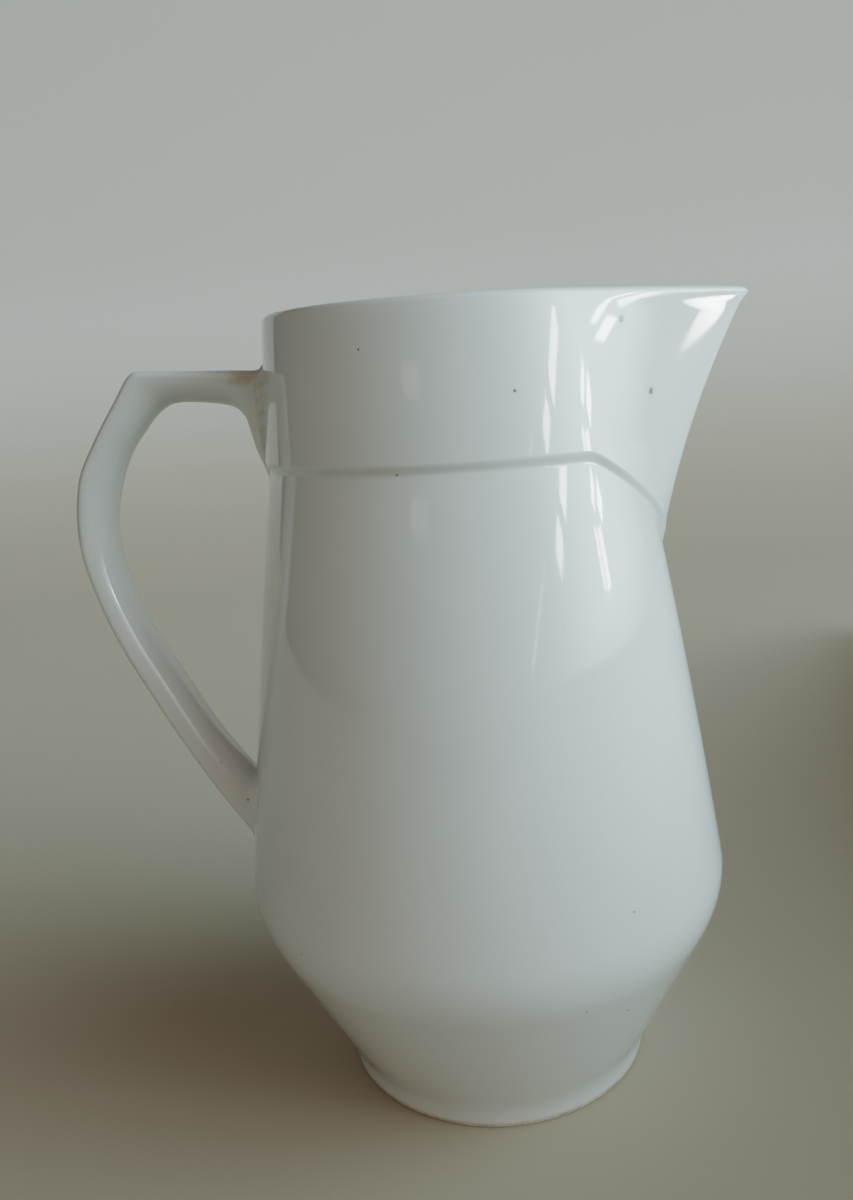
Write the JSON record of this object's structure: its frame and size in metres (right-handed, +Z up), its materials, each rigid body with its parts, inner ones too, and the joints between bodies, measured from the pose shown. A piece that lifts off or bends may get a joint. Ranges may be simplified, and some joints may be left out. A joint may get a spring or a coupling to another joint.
{
  "type": "water jug",
  "caption": "Large glazed white porcelain jug with a tapering belly, a straight collar drawn out into a flat-cheeked spout, and an angular strap handle",
  "frame": {"origin": "middle of the jug's outer box at the level of the foot, so the jug stands on z = 0 and its turned axis is 12.9 mm to the +X side", "axes": "+Z up along the jug's axis, +X towards the spout, -X towards the handle, +Y across"},
  "size_m": [0.2049, 0.152, 0.2409],
  "materials": {
    "glazed_porcelain": "clear cool-white gloss glaze with sparse dark iron specks",
    "bare_porcelain": "ground foot without glaze, matte and slightly grey from use"
  },
  "bodies": {
    "root": {"body_shell": "glazed_porcelain", "collar_with_spout": "glazed_porcelain", "handle": "glazed_porcelain", "upper_slip_joint": "glazed_porcelain", "lower_slip_joint": "glazed_porcelain", "foot_ring": "bare_porcelain"}
  },
  "joints": []
}
